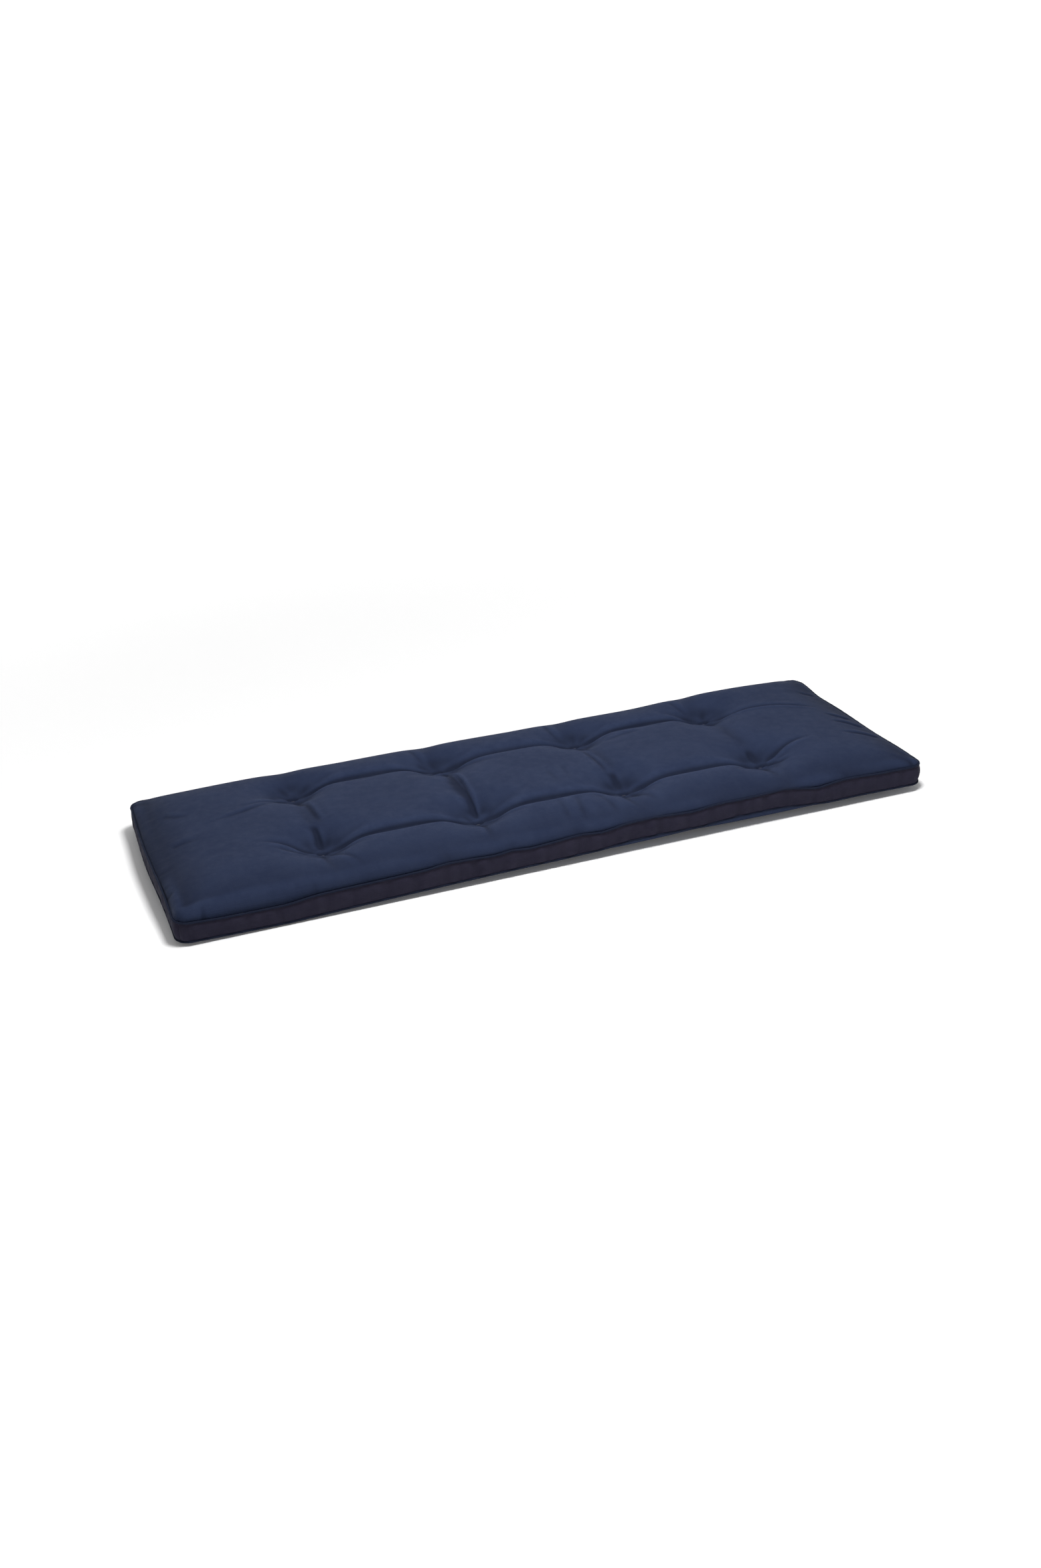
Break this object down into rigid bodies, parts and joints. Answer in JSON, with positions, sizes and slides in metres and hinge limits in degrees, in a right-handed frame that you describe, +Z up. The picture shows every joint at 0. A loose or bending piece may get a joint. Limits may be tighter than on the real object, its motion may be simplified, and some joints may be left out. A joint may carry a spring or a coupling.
{
  "type": "futon mattress",
  "caption": "Narrow rectangular tufted futon mattress with a boxed, piped cloth cover over wadding and a foam core, used lying flat as a bed or bench pad.",
  "frame": {"origin": "middle of the underside, on the surface that the mattress lies on", "axes": "+X along the length, +Y from the front long side to the back one, +Z up"},
  "size_m": [1.504, 0.504, 0.09],
  "materials": {
    "cover_fabric": "plain woven navy cotton",
    "border_fabric": "plain woven navy cotton",
    "piping_fabric": "navy cotton bias tape over cord",
    "foam": "open-cell foam, dull",
    "wadding": "matted cotton and polyester fibre",
    "sewing_thread": "navy sewing thread",
    "tufting_twine": "waxed navy twine"
  },
  "bodies": {
    "root": {"top_panel": "cover_fabric", "bottom_panel": "cover_fabric", "front_border": "border_fabric", "back_border": "border_fabric", "left_border": "border_fabric", "right_border": "border_fabric", "top_piping": "piping_fabric", "bottom_piping": "piping_fabric", "foam_core": "foam", "upper_wadding": "wadding", "lower_wadding": "wadding", "top_seam_thread": "sewing_thread", "bottom_seam_thread": "sewing_thread", "corner_seam_threads": "sewing_thread", "closing_stitches": "sewing_thread", "tuft_twine_1": "tufting_twine", "tuft_twine_2": "tufting_twine", "tuft_twine_3": "tufting_twine", "tuft_twine_4": "tufting_twine", "tuft_twine_5": "tufting_twine", "tuft_twine_6": "tufting_twine", "tuft_twine_7": "tufting_twine", "tuft_twine_8": "tufting_twine"}
  },
  "joints": []
}
